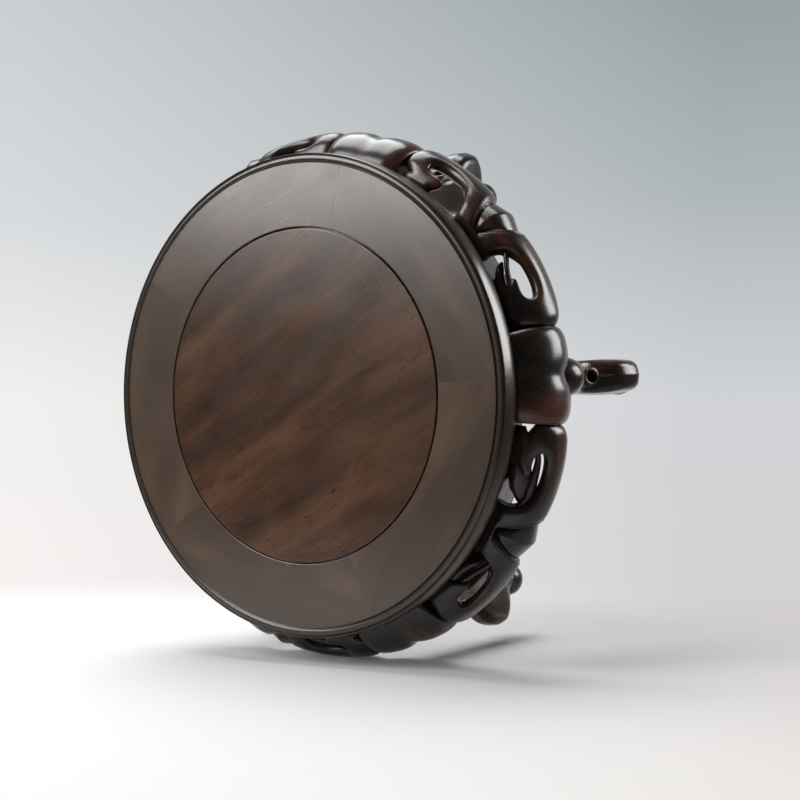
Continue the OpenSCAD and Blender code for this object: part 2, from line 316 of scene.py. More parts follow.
def group(name, inputs, outputs):
    """Shader node group with named sockets, an input without a value being a vector.

    Returns its tree, what it is given and what it gives.
    """
    tree = bpy.data.node_groups.new(name, "ShaderNodeTree")
    for label, value in inputs.items():
        kind = "NodeSocketVector" if value is None else "NodeSocketFloat"
        made = tree.interface.new_socket(name=label, in_out="INPUT", socket_type=kind)
        if value is not None:
            made.default_value = value
    for label in outputs:
        tree.interface.new_socket(name=label, in_out="OUTPUT", socket_type="NodeSocketFloat")
    return tree, tree.nodes.new("NodeGroupInput").outputs, tree.nodes.new("NodeGroupOutput").inputs


def node(tree, kind, links=None, **values):
    """Adds a shader node; values set its properties, links feed its inputs by name or number."""
    made = tree.nodes.new(kind)
    for key, value in values.items():
        setattr(made, key, value)
    for key, source in (links or {}).items():
        if isinstance(source, bpy.types.NodeSocket):
            tree.links.new(source, made.inputs[key])
        else:
            made.inputs[key].default_value = source
    return made


def calc(tree, operation, a, b=0.0, clamp=False):
    """Value from one or two values."""
    return node(tree, "ShaderNodeMath", {0: a, 1: b}, operation=operation, use_clamp=clamp).outputs[0]


def vector_node(tree, operation, a, b):
    """Vector from two vectors."""
    return node(tree, "ShaderNodeVectorMath", {0: a, 1: b}, operation=operation).outputs[0]


def scaled(tree, vector, amount):
    """Vector times a value."""
    return node(tree, "ShaderNodeVectorMath", {0: vector, "Scale": amount}, operation="SCALE").outputs[0]


def measure(tree, operation, a, b):
    """Value from two vectors."""
    return node(tree, "ShaderNodeVectorMath", {0: a, 1: b}, operation=operation).outputs["Value"]


def noise(tree, vector, detail, roughness=0.5):
    """Noise at a place, with its value and its colour as outputs."""
    links = {"Vector": vector, "Scale": 1.0, "Detail": detail, "Roughness": roughness}
    return node(tree, "ShaderNodeTexNoise", links).outputs


def remap(tree, value, low, high, to_low=0.0, to_high=1.0, smooth=False):
    """Value carried from one range to another and held inside it."""
    links = {"Value": value, "From Min": low, "From Max": high, "To Min": to_low, "To Max": to_high}
    return node(tree, "ShaderNodeMapRange", links, interpolation_type="SMOOTHSTEP" if smooth else "LINEAR").outputs[0]


def blend(tree, share, a, b, kind="MIX"):
    """Colour between two colours."""
    return node(tree, "ShaderNodeMix", {"Factor": share, 6: a, 7: b}, data_type="RGBA", blend_type=kind).outputs[2]


def ramp(tree, value, stops):
    """Colour picked by a value from colours at places from 0 to 1."""
    made = node(tree, "ShaderNodeValToRGB", {"Fac": value})
    band = made.color_ramp.elements
    while len(band) < len(stops):
        band.new(0.5)
    for element, (place, shade) in zip(band, stops):
        element.position = place
        element.color = (*shade, 1)
    return made.outputs[0]


def use_group(tree, name, links=None):
    """Adds a node group by its name and feeds its inputs."""
    return node(tree, "ShaderNodeGroup", links, node_tree=bpy.data.node_groups[name]).outputs


def grain_group():
    """Hardwood grain: broad bands, fine fibres and open pores that run along the first axis."""
    tree, given, gives = group(
        "Hardwood Grain", {"Grain": None, "Band Width": 8.0, "Wander": 3.0, "Run": 0.05, "Pore Share": 0.36},
        ("Bands", "Fibres", "Pores", "Height"))
    lay = given["Grain"]
    drift = noise(tree, vector_node(tree, "MULTIPLY", lay, (14, 30, 30)), 1.0)
    shift = vector_node(tree, "SUBTRACT", drift["Color"], (0.5, 0.5, 0.5))
    sway = scaled(tree, shift, calc(tree, "MULTIPLY", given["Wander"], MM))
    place = vector_node(tree, "ADD", lay, vector_node(tree, "MULTIPLY", sway, (0, 1, 1)))
    per_metre = calc(tree, "DIVIDE", 1 / MM, given["Band Width"])
    lengths = node(tree, "ShaderNodeCombineXYZ", {"X": given["Run"], "Y": 1.0, "Z": 0.7}).outputs[0]
    bands = noise(tree, scaled(tree, vector_node(tree, "MULTIPLY", place, lengths), per_metre), 3.0, 0.6)
    wide = remap(tree, bands[0], 0.3, 0.7)
    fibres = noise(tree, vector_node(tree, "MULTIPLY", place, (45, 1500, 1100)), 2.0)
    fine = remap(tree, fibres[0], 0.3, 0.7)
    pores = noise(tree, vector_node(tree, "MULTIPLY", place, (300, 2600, 1900)), 1.0)
    over = calc(tree, "SUBTRACT", pores[0], calc(tree, "SUBTRACT", 1.0, given["Pore Share"]))
    open_pore = calc(tree, "MULTIPLY", over, 14.0, True)
    rise = calc(tree, "SUBTRACT", fine, calc(tree, "MULTIPLY", open_pore, 0.3))
    for label, value in (("Bands", wide), ("Fibres", fine), ("Pores", open_pore), ("Height", rise)):
        tree.links.new(value, gives[label])


def rubbed_group():
    """Edges rubbed by handling: a mask that is 1 on proud edges."""
    tree, given, gives = group("Rubbed Edges", {"Start": 0.53, "Full": 0.62}, ("Mask",))
    shape = node(tree, "ShaderNodeNewGeometry")
    mask = remap(tree, shape.outputs["Pointiness"], given["Start"], given["Full"])
    tree.links.new(mask, gives["Mask"])


def polish_group():
    """Hand polish: roughness that drifts over the surface and is duller in the pores."""
    tree, given, gives = group(
        "Hand Polish", {"Place": None, "Pores": 0.0, "Bright": 0.25, "Dull": 0.4}, ("Roughness",))
    smear = noise(tree, vector_node(tree, "MULTIPLY", given["Place"], (60, 140, 140)), 3.0)
    drift = remap(tree, smear[0], 0.3, 0.7, given["Bright"], given["Dull"])
    pore = calc(tree, "MULTIPLY", given["Pores"], 0.03)
    tree.links.new(calc(tree, "ADD", drift, pore, True), gives["Roughness"])


def hardwood(name, tones, band_mm, wander_mm, run, fibre, pore_share, pore_tint, coat, bump, rubbed,
             polish=(0.2, 0.27), gloss_level=0.5):
    """Polished hardwood with its own grain, pores, rubbed edges and polish."""
    dark, middle, light = tones
    pore_colour = (*pore_tint, 1)
    pale = tuple(1.5 * v for v in light)
    material = bpy.data.materials.new(name)
    material.use_nodes = True
    tree = material.node_tree
    shader = tree.nodes["Principled BSDF"]
    lay = node(tree, "ShaderNodeAttribute", attribute_name="grain").outputs["Vector"]
    grain = use_group(tree, "Hardwood Grain", {
        "Grain": lay, "Band Width": band_mm, "Wander": wander_mm, "Run": run, "Pore Share": pore_share})
    colour = ramp(tree, grain["Bands"], [(0.12, dark), (0.5, middle), (0.9, light)])
    colour = blend(tree, 1.0, colour, remap(tree, grain["Fibres"], 0.0, 1.0, 1 - fibre, 1 + fibre), "MULTIPLY")
    colour = blend(tree, grain["Pores"], colour, pore_colour)
    worn = calc(tree, "MULTIPLY", use_group(tree, "Rubbed Edges")["Mask"], rubbed)
    colour = blend(tree, worn, colour, (*pale, 1))
    # Painted shade: where a piece carries it, the colour is darkened towards the pore tint
    painted_shade = node(tree, "ShaderNodeAttribute", attribute_name="painted_shade").outputs["Fac"]
    colour = blend(tree, painted_shade, colour, pore_colour)
    gloss = use_group(tree, "Hand Polish", {
        "Place": lay, "Pores": grain["Pores"], "Bright": polish[0], "Dull": polish[1]})
    relief = node(tree, "ShaderNodeBump", {"Height": grain["Height"], "Strength": bump, "Distance": 0.2 * MM})
    tree.links.new(colour, shader.inputs["Base Color"])
    tree.links.new(gloss["Roughness"], shader.inputs["Roughness"])
    tree.links.new(relief.outputs[0], shader.inputs["Normal"])
    for label, value in (("Specular IOR Level", gloss_level), ("Coat Weight", coat), ("Coat Roughness", 0.18)):
        shader.inputs[label].default_value = value


# Settings a user would change

def length(label, note, value_mm):
    """Length setting, given in millimetres."""
    return bpy.props.FloatProperty(
        name=label, description=note, default=value_mm * MM, min=0, subtype="DISTANCE", unit="LENGTH", precision=5)


def tone(label, note, value):
    """Colour setting."""
    return bpy.props.FloatVectorProperty(
        name=label, description=note, default=value, min=0, max=1, size=3, subtype="COLOR")


class StandSizes(bpy.types.PropertyGroup):
    """Sizes of the moulding and the carving."""
    panel_radius: length("Panel radius", "Radius of the panel's visible face", 51.4)
    joint_radius: length("Joint radius", "Inner radius of the frame", 52)
    bead_width: length("Bead width", "Width of the bead near the plate's edge", 1.9)
    edge_round: length("Edge rounding", "Radius under the plate's edge", 1.5)
    joint_gap: length("Joint gap", "Width of a glue line", 0.06)
    leaf_width: length("Leaf width", "Full width of the leaf in an apron", 12.8)
    shoulder_width: length("Shoulder width", "Width of a leg's shoulder between its joints", 30)
    fold_depth: length("Fold depth", "Depth of the fold between a shoulder's lobes", 2.4)
    eye_radius: length("Eye radius", "Radius of the ring on a leg's front", 2.3)
    net_cell: length("Carving cell", "Size of the cells that the carving is meshed with", 0.45)


class StandFinish(bpy.types.PropertyGroup):
    """Colours of the woods and of the stage."""
    panel_dark: tone("Panel dark", "Dark bands of the panel", (0.032, 0.0145, 0.008))
    panel_middle: tone("Panel middle", "Main colour of the panel", (0.058, 0.026, 0.012))
    panel_light: tone("Panel light", "Light bands of the panel", (0.098, 0.043, 0.022))
    frame_dark: tone("Frame dark", "Dark bands of the frame", (0.054, 0.037, 0.026))
    frame_middle: tone("Frame middle", "Main colour of the frame", (0.068, 0.046, 0.032))
    frame_light: tone("Frame light", "Light bands of the frame", (0.098, 0.063, 0.043))
    carved_dark: tone("Carving dark", "Dark bands of legs and aprons", (0.010, 0.0084, 0.007))
    carved_middle: tone("Carving middle", "Main colour of legs and aprons", (0.018, 0.0122, 0.0096))
    carved_light: tone("Carving light", "Reddish bands of legs and aprons", (0.078, 0.029, 0.018))
    floor: tone("Floor", "Pale floor", (0.74, 0.73, 0.72))


def sizes():
    """The scene's sizes."""
    return bpy.context.scene.stand_sizes


def finish():
    """The scene's colours."""
    return bpy.context.scene.stand_finish


# Coordinates of the bulging wall: along it, up over it and out from it, in millimetres
WALL_R = 71.0
WALL_Z = 66.2
WALL_OUT = 12.08
WALL_UP = 12.8
WALL_ROUND = 12.4
WALL_SPAN = 80.0


def wall_to_space(x, p, n):
    """Places in space of places along, up over and out from the wall."""
    rho = (WALL_ROUND + n) / WALL_ROUND
    phi = p / WALL_ROUND
    r = WALL_R + WALL_OUT * rho * np.cos(phi)
    z = WALL_Z + WALL_UP * rho * np.sin(phi)
    return np.stack([r * np.cos(x / WALL_SPAN), r * np.sin(x / WALL_SPAN), z], -1)


class STAND_OT_finishes(bpy.types.Operator):
    """Makes the polished hardwoods of the stand."""
    bl_idname = "stand.finishes"
    bl_label = "Hardwood finishes"

    def tones(self, wood):
        """A wood's dark, middle and light colours."""
        return [getattr(finish(), f"{wood}_{band}") for band in ("dark", "middle", "light")]

    def execute(self, context):
        grain_group()
        rubbed_group()
        polish_group()
        hardwood("panel_hardwood", self.tones("panel"), band_mm=11, wander_mm=9, run=0.2, fibre=0.08,
                 pore_share=0.37, pore_tint=(0.020, 0.009, 0.006), coat=0.05, bump=0.03, rubbed=0)
        hardwood("frame_hardwood", self.tones("frame"), band_mm=18, wander_mm=8, run=0.25, fibre=0.04,
                 pore_share=0.26, pore_tint=(0.014, 0.010, 0.008), coat=0.15, bump=0.03, rubbed=0.4)
        hardwood("carved_hardwood", self.tones("carved"), band_mm=10, wander_mm=5, run=0.12, fibre=0.12,
                 pore_share=0.3, pore_tint=(0.006, 0.003, 0.002), coat=0.1, bump=0.04, rubbed=0.3,
                 polish=(0.22, 0.3), gloss_level=0.45)
        hidden = (0.10, 0.06, 0.03), (0.16, 0.10, 0.055), (0.24, 0.16, 0.09)
        hardwood("joinery_hardwood", hidden, band_mm=6, wander_mm=2, run=0.05, fibre=0.2,
                 pore_share=0.3, pore_tint=(0.05, 0.03, 0.015), coat=0, bump=0.2, rubbed=0.1, polish=(0.5, 0.6))
        return {"FINISHED"}


class STAND_OT_panel(bpy.types.Operator):
    """Makes the round panel with its eased edge and the tongue that the frame holds."""
    bl_idname = "stand.panel"
    bl_label = "Round panel"

    def execute(self, context):
        r = sizes().panel_radius / MM
        low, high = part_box("top_panel")
        z0, z1 = low.z / MM, high.z / MM
        tongue_r = high.x / MM
        tongue_low, tongue_high = (z0 + z1) / 2 - 0.9, (z0 + z1) / 2 + 0.9
        ease, hub, around = 0.12, 2.0, 180
        half = [(hub, z0), (r - ease, z0), (r, z0 + ease), (r, tongue_low), (tongue_r, tongue_low),
                (tongue_r, tongue_high), (r, tongue_high), (r, z1 - ease), (r - 0.3 * ease, z1 - 0.3 * ease),
                (r - ease, z1), (r - 2 * ease, z1), (hub, z1)]
        rings = []
        for a, b in zip(half, half[1:]):
            count = 24 if abs(b[0] - a[0]) > 20 else 1
            rings += list(np.linspace(a, b, count, endpoint=False))
        rings.append(half[-1])
        turn = np.arange(around) * 2 * math.pi / around
        verts = np.concatenate([
            np.stack([q * np.cos(turn), q * np.sin(turn), np.full(around, z)], 1) for q, z in rings])
        faces = ring_faces(len(rings), around)
        along = (0.883 * SIDE + 0.470 * TABLE_UP).normalized()
        across = AXIS.cross(along)
        grain = np.stack([verts @ np.array(along), verts @ np.array(across), verts[:, 2]], 1) + 300
        wooden_piece("panel_board", "top_panel", verts, faces, grain, "panel_hardwood", 30)
        return {"FINISHED"}


class STAND_OT_frame(bpy.types.Operator):
    """Makes the five frame segments with their bead, grooves and rounded edge."""
    bl_idname = "stand.frame"
    bl_label = "Frame segments"

    def section(self):
        """Closed outline of the frame's section, as radius and height."""
        size = sizes()
        inner, bead, edge = size.joint_radius / MM, size.bead_width / MM, size.edge_round / MM
        groove, bead_z, step = 0.24, TOP - 0.45, UNDER + 0.5
        slot, slot_half = 3.2, 1.1
        bead_out = PLATE_R - 1.05
        bead_in = bead_out - bead
        low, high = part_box("top_panel")
        middle = (low.z + high.z) / 2 / MM
        points = [(inner, TOP - 0.15), (inner + 0.05, TOP - 0.05), (inner + 0.15, TOP), (inner + 0.3, TOP)]
        points += [(inner + (bead_in - 2 * groove - inner) * k / 10, TOP) for k in range(1, 11)]
        points += [(bead_in - groove, TOP - 0.55), (bead_in, bead_z)]
        for k in range(1, 9):
            a = math.pi * (1 - k / 9)
            points.append((bead_in + bead / 2 + bead / 2 * math.cos(a), bead_z + 0.38 * math.sin(a)))
        points += [(bead_out, TOP - 0.5), (bead_out + groove, TOP - 0.7), (bead_out + 2 * groove, TOP - 0.35),
                   (PLATE_R - 0.5, TOP - 0.28)]
        low_edge = step + edge - TOP
        for k in range(11):
            drop = -0.5 + (low_edge + 0.5) * k / 10
            points.append((PLATE_R - 0.2 * ((drop - 0.8 * low_edge) / (low_edge / 2)) ** 2, TOP + drop))
        for k in range(1, 7):
            a = math.radians(-15 * k)
            points.append((PLATE_R - 0.04 - edge + edge * math.cos(a), step + edge + edge * math.sin(a)))
        slot_low, slot_high = middle - slot_half, middle + slot_half
        points += [
            (PLATE_R - edge - 1.2, step), (PLATE_R - edge - 1.7, UNDER), (inner + 0.3, UNDER), (inner, UNDER + 0.3),
            (inner, slot_low), (inner + slot, slot_low), (inner + slot, slot_high), (inner, slot_high)]
        return points[::-1]

    def execute(self, context):
        loop = self.section()
        gap = sizes().joint_gap / MM / 2 / PLATE_R
        for i in range(LEGS):
            start = FIRST_LEG + i * STEP + gap
            end = FIRST_LEG + (i + 1) * STEP - gap
            verts, faces = swept_section(loop, start, end, 72)
            local = turned(verts, -(start + end) / 2)
            grain = local[:, [1, 0, 2]] + [170 * i + 40, 90 * i, 23 * i]
            # Painted shade starts beside the bead and covers the rim, darkening the colour where the rounded rim
            # would reflect the dark room
            painted_shade = np.interp(np.hypot(verts[:, 0], verts[:, 1]), [PLATE_R - 3.6, PLATE_R - 3.0], [0, 0.75])
            wooden_piece(f"frame_rail_{i + 1}", f"frame_segment_{i + 1}", verts, faces, grain,
                         "frame_hardwood", 32, painted_shade)
        return {"FINISHED"}


class STAND_OT_aprons(bpy.types.Operator):
    """Carves the five pierced aprons: two scroll loops with a leaf between them, their lobes and bars."""
    bl_idname = "stand.aprons"
    bl_label = "Pierced aprons"

    # Outline of a loop's opening, along and up the wall from the leaf's middle
    opening = curve_through([
        (9.6, 21), (9.3, 16.6), (9.2, 14), (9.6, 11.4), (10.6, 8.2), (12.5, 5.7), (16, 4), (20.6, 3.1),
        (24.6, 3.5), (26.9, 4.9), (27.2, 6.7), (26.2, 8.1), (24.2, 8.6), (22, 8.5), (20.3, 8.8), (19.6, 9.8),
        (19.9, 11.4), (20.8, 12.9), (21.8, 14.4), (22.2, 17), (22.2, 21)], 4)
    hem = table([
        (0, -4), (5, -4.8), (8, -6), (11, -7.2), (16, -8.6), (21, -8.9), (26, -8.5), (30, -7.4), (36, -5.4)])
    belly = table([
        (-14, 0.2), (-9, 0.4), (-6, 0.55), (-3, 0.45), (0, 0.2), (3, 0), (6, -0.5), (9, -1.5), (12, -2.6),
        (16, -3.6), (21, -4.6)])
    # Along, up, out and radius of the tongue under the rim, and of the bar from the lobe to the leaf, on each hand
    rods = {
        -1: [[(-29, 14.5, -5.4, 3.4), (-24, 15.6, -5.6, 3.4), (-19.5, 15.6, -5.9, 3), (-16, 13.6, -6.2, 2.3),
              (-14, 11.2, -6.3, 1.5), (-12.8, 9.2, -6.3, 0.5)],
             [(-23.5, 12, -4.2, 1.6), (-20, 11.2, -4.3, 1.3), (-16.1, 9.9, -4.2, 1.1), (-12.8, 8, -4.1, 1.1),
              (-9.6, 6.2, -4, 1.2)]],
        1: [[(29, 14.5, -5.4, 3.4), (25, 14.2, -5.6, 4.6), (21.7, 13.2, -5.7, 5.6), (19.2, 11.8, -5.7, 6),
             (16.7, 9.9, -5.7, 5.2), (14.6, 8.6, -5.7, 4), (13, 7.6, -5.7, 3), (12, 6.8, -5.7, 2)],
            [(28, 6.6, -4.4, 1.2), (25, 5.4, -4.4, 1.4), (22.3, 5.1, -4.4, 1.7), (18.6, 5.1, -4.4, 2.1),
             (15.8, 5, -4.4, 2.4), (13.5, 5.4, -4.4, 2.3), (11, 7, -4.4, 1.8), (9.2, 9, -4.4, 1.4)]],
    }
    rod_sides, wall_thick, leaf_top, leaf_back = 12, 5.4, 13.5, 6.5
    # Width and depth of the edges rolled over at an opening, the hem and a joint, and behind an opening
    strand_roll, hem_roll, end_roll, back_roll = (3.0, 1.5), (5.5, 3.4), (5.0, 2.5), (4.0, 1.6)
    crease_width = 3.4
    # Places up the wall and depths of the notch beside one joint
    notch_up, notch_deep = (9.0, 12.2, 13.6), (0, 2.8, 1.0)
    # Distance from the leaf and radius of the fine beads beside it, how deep they sit and where they stop
    beads, bead_sunk, bead_lowest = ((0.6, 0.3), (1.5, 0.26)), 0.04, -3.2
    # The rail behind the carving, and the sunk ground that hangs from it between the loops and fades into it
    rail_back, rail_drop = 65.0, 8.6
    ground_in, ground_drop, ground_end, ground_fade = 0.15, 6.0, 25, 9
    # Section of the web and its ends along the wall
    web_section = [(70.6, UNDER - 15), (76.8, UNDER - 13.5), (76.8, UNDER - 12), (70.6, UNDER - 11)]
    web_ends = -25, -5
    # Counted from 0, the apron with its second loop left clear and the one with a web in its first
    cleared, webbed = 2, 1
    leaf_shape = table([
        (-10.2, 0), (-9.6, 0.42), (-8.4, 0.76), (-6.4, 0.95), (-4, 1), (0, 0.95), (4, 0.74), (8, 0.44),
        (11, 0.2), (13, 0.02)])
    leaf_ridge = table([
        (-10.2, -2.4), (-9.2, -1), (-7, -0.1), (-4, 0.35), (0, 0.35), (4, 0.1), (8, -1.1), (13, -3.8)])

    def leaf_edge(self, p):
        """Half width of the leaf at places up the wall."""
        return self.leaf_shape(p) * sizes().leaf_width / MM / 2

    def leaf_field(self, side, p, n):
        """Field of the leaf, less than 0 inside."""
        front = self.leaf_ridge(p) - 0.3 * side
        return smooth_max(smooth_max(side - self.leaf_edge(p), n - front, 0.4), -(n + self.leaf_back), 0.3)

    def field(self, x, p, n):
        """Field of the wall with its openings and its leaf, less than 0 inside."""
        side = np.abs(x)
        clear = outline_distance(self.opening, side, p)
        low = (p - self.hem(side)) * 0.95
        notch = np.where(x > 0, np.interp(p, self.notch_up, self.notch_deep), 0.0)
        end = self.limit - notch - side
        beside = np.where(p < self.leaf_top, side - self.leaf_edge(p), 9.0)
        crease = 1.6 + 0.14 * np.clip(p, 0, 14)
        level = self.belly(p)
        front = level - rolled(clear, *self.strand_roll) - rolled(low, *self.hem_roll) - rolled(end, *self.end_roll)
        front -= rolled(beside, self.crease_width, crease)
        pierced = np.clip((side - 11) / 5, 0, 1)
        back = (1.0 + rolled(clear, *self.back_roll)) * pierced - self.wall_thick + 0.6 * np.minimum(level, 0)
        wall = smooth_max(n - front, -clear, 0.9)
        wall = smooth_max(smooth_max(wall, back - n, 0.6), -low, 0.8)
        shape = np.minimum(np.maximum(wall, -end), self.leaf_field(side, p, n))
        height = WALL_Z + WALL_UP * (WALL_ROUND + n) / WALL_ROUND * np.sin(p / WALL_ROUND)
        shape = np.maximum(shape, height - UNDER + SKIN)
        return np.maximum(shape, side - self.limit)

    def front_of(self, x, p):
        """Height of the carving's front over the wall at places along it, and whether there is any."""
        levels = np.linspace(2.5, -5, 160)
        inside = self.field(x[:, None], p[:, None], levels[None, :]) < 0
        return levels[inside.argmax(1)], inside.any(1)

    def execute(self, context):
        cell = sizes().net_cell / MM
        half = STEP / 2 - (sizes().shoulder_width + sizes().joint_gap) / MM / 2 / BULGE_R
        self.limit = half * WALL_SPAN
        verts, quads = surface_net(self.field, (-self.limit - 1, -13, -9), (self.limit + 1, 20.5, 2.2), cell)
        shapes = [(wall_to_space(*verts.T), quads)]
        filling = {-1: [], 1: []}
        p = np.linspace(11.6, -6.0, 40)
        for hand in (-1, 1):
            for beside, radius in self.beads:
                x = hand * (self.leaf_edge(p) + beside)
                n, on = self.front_of(x, p)
                on &= n > self.bead_lowest
                last = on.sum() - 1
                thick = np.interp(np.arange(last + 1), [0, 8, last - 8, last], [0.1, radius, radius, 0.06])
                shapes.append(tube_along(wall_to_space(x[on], p[on], n[on] - self.bead_sunk), thick))
            for rows in self.rods[hand]:
                rod = curve_through(rows, 6)
                verts, quads = tube_along(rod[:, :3], rod[:, 3], self.rod_sides)
                level = np.repeat(rod[:, 2], self.rod_sides)
                deep = np.repeat(np.minimum(1, 0.9 / rod[:, 3] ** 0.5), self.rod_sides)
                out = level + deep * (verts[:, 2] - level)
                filling[hand].append((wall_to_space(verts[:, 0], verts[:, 1], out), quads))
        back, rail, foot = self.rail_back, WALL_R + 1, UNDER - self.rail_drop
        strip = [(back, foot + 0.4), (back + 0.4, foot), (rail - 0.9, foot), (rail - 0.3, foot + 0.3),
                 (rail, foot + 1), (rail, UNDER), (back, UNDER)]
        shapes.append(swept_section(strip, -half, half, 40))
        ground = [(r - self.ground_in, z - self.ground_drop * (z < UNDER)) for r, z in strip]
        for hand, start, end in ((-1, -self.ground_end, 1), (1, -1, self.ground_end)):
            verts, faces = swept_section(ground, start / WALL_SPAN, end / WALL_SPAN, 24)
            along = np.abs(np.arctan2(verts[:, 1], verts[:, 0])) * WALL_SPAN
            share = np.clip((self.ground_end - along) / self.ground_fade, 0, 1)
            verts[:, 2] += self.ground_drop * (verts[:, 2] < foot) * (1 - np.sqrt(share * (2 - share)))
            filling[hand].append((verts, faces))
        web = swept_section(self.web_section, *(end / WALL_SPAN for end in self.web_ends), 20)
        for i in range(LEGS):
            parts = shapes + filling[-1]
            if i != self.cleared:
                parts += filling[1]
            if i == self.webbed:
                parts += [web]
            verts, faces = joined(*parts)
            angle = FIRST_LEG + (i + 0.5) * STEP
            grain = verts[:, [1, 2, 0]] + [210 * i + 15, 77 * i, 41 * i]
            wooden_piece(f"apron_carving_{i + 1}", f"apron_{i + 1}", turned(verts, angle), faces, grain,
                         "carved_hardwood", 50)
        return {"FINISHED"}


class STAND_OT_legs(bpy.types.Operator):
    """Carves the five legs: a folded shoulder, a knob, a scroll toe with its eye, and a ball."""
    bl_idname = "stand.legs"
    bl_label = "Scroll legs"

    hem = table([(0, -9.0), (3, -10.0), (6.5, -11.2), (9, -10.8), (11.5, -9.0), (13.6, -5.8), (15.4, -1.5)])
    fold = table([(-13, 1.1), (-9, 1.05), (-5, 0.75), (0, 0.45), (6, 0.22), (12, 0.1), (19.6, 0.0)])
    back = table([(52, 69.5), (58, 69.5), (66, 69.5), (72, 67), (79, 63.2), (82, 62)])
    side_profile = curve_through([
        (67.6, 62), (72.4, 61.4), (74, 55), (74.4, 49.5), (74.3, 45), (73.8, 41), (72.7, 37.4),
        (73.5, 33.6), (76, 30.8), (78.6, 28.6), (80.7, 26.6), (82, 24), (82.7, 21), (82.9, 18.4),
        (82.3, 16.9), (80.8, 15.7), (78.6, 14.5), (75.6, 13.2), (73.4, 11.8), (71.8, 9.2), (70, 6),
        (66.6, 6), (65, 10), (64, 13), (62.4, 17), (62, 25), (62, 34), (62.8, 41),
        (64.2, 48), (65.8, 54.5), (67.6, 62)], 4)[:-1]
    half_thick = table([
        (4, 4.4), (12, 4.8), (16, 5.5), (20, 5.6), (26, 5.5), (33, 5.2), (40, 5.2), (49, 5.2), (54, 4.5),
        (62, 4.5)])
    # Middle and half sizes of the knob, and middle and radius of the ball
    knob_x, knob_z, knob_half, knob_mean = 72.0, 48.4, (7.0, 6.2, 7.6), 6.4
    ball_x, ball_z, ball_r = 68.5, 5.0, 5.6
    # Middle of the eye, the way it looks, the way down its front, and the radius and steps of its ring
    eye_at = np.array([73.9, 0.0, 33.4])
    eye_out = np.array([0.90, 0.0, 0.436])
    eye_down = np.array([0.436, 0.0, -0.90])
    ring_wire, ring_turns, ring_sides = 0.62, 40, 12
    # Width and depth of a shoulder's rolled edge, and half width of its fold
    edge_roll, fold_half = (5.6, 3.0), 3.0
    # The boss under the ring, and the hole inside it
    boss_rim, boss_half, hole_rim, hole_deep = 0.6, 0.5, 0.45, 2.4
    # End and steps of the crest that runs down the toe from the eye
    crest_end, crest_steps = np.array([79.6, 0, 27.75]), 12

    def shoulder_field(self, x, y, z):
        """Field of the folded shoulder, less than 0 inside."""
        r = np.hypot(x, y)
        along = np.arctan2(y, x) * WALL_SPAN
        up = WALL_ROUND * np.arcsin(np.clip((z - WALL_Z) / WALL_UP, -1, 1))
        rho = WALL_ROUND * np.hypot((r - WALL_R) / WALL_OUT, (z - WALL_Z) / WALL_UP)
        rho = np.where(r < WALL_R, WALL_ROUND * np.abs(z - WALL_Z) / WALL_UP - (WALL_R - r) * 0.2, rho)
        side = np.abs(along)
        inset = smooth_min(self.limit + 0.4 - side, up - self.hem(side), 2.0)
        drop = rolled(inset, *self.edge_roll)
        depth = sizes().fold_depth / MM * self.fold(up) * np.exp(-(along / self.fold_half) ** 2)
        front = rho - (WALL_ROUND - drop - depth)
        shape = smooth_max(front, -inset, 0.6)
        shape = np.maximum(shape, self.back(z) - r)
        shape = np.maximum(shape, z - UNDER + SKIN)
        return np.maximum(shape, (side - self.limit) * 0.95)

    def field(self, x, y, z):
        """Field of the whole leg, less than 0 inside."""
        shoulder = self.shoulder_field(x, y, z)
        wide, thick, tall = self.knob_half
        knob = np.sqrt(((x - self.knob_x) / wide) ** 2 + (y / thick) ** 2 + ((z - self.knob_z) / tall) ** 2)
        knob = (knob - 1) * self.knob_mean
        flat = outline_distance(self.side_profile, x, z)
        # The toe's front runs to a ridge
        front = np.clip((x - 68) / 5, 0, 1) * np.clip((34 - z) / 6, 0, 1) * np.clip((z - 15) / 3, 0, 1)
        flat = flat + 0.2 * np.abs(y) * front
        thick = np.abs(y) - self.half_thick(z) + 0.012 * (x - 71) ** 2
        ease = 1.8
        a, b = flat + ease, thick + ease
        shank = np.hypot(np.maximum(a, 0), np.maximum(b, 0)) + np.minimum(np.maximum(a, b), 0) - ease
        dx, dz = x - self.eye_at[0], z - self.eye_at[2]
        depth = dx * self.eye_out[0] + dz * self.eye_out[2]
        off = np.hypot(y, dz * self.eye_out[0] - dx * self.eye_out[2])
        radius = sizes().eye_radius / MM
        boss = smooth_max(off - radius - self.boss_rim, np.abs(depth) - self.boss_half, 0.4)
        shank = np.minimum(shank, boss)
        shank = np.maximum(shank, np.minimum(radius - self.hole_rim - off, depth + self.hole_deep))
        ball = np.sqrt((x - self.ball_x) ** 2 + y ** 2 + (z - self.ball_z) ** 2) - self.ball_r
        ball = np.maximum(ball, SKIN - z)
        foot = np.minimum(shank, ball)
        return np.minimum(smooth_min(shoulder, foot, 1.0), knob)

    def eye_ring(self):
        """Round ring about the eye."""
        radius, wire, out = sizes().eye_radius / MM, self.ring_wire, self.eye_out
        turn = np.linspace(0, 2 * math.pi, self.ring_turns + 1)[:-1]
        tube = np.linspace(0, 2 * math.pi, self.ring_sides + 1)[:-1]
        centre = self.eye_at + 0.1 * out
        ring = np.cos(turn)[:, None] * self.eye_down + np.sin(turn)[:, None] * [0, 1, 0]
        verts = (centre + ring[:, None] * (radius + wire * np.cos(tube))[None, :, None]
                 + wire * np.sin(tube)[None, :, None] * out).reshape(-1, 3)
        return verts, ring_faces(self.ring_turns, self.ring_sides, True)

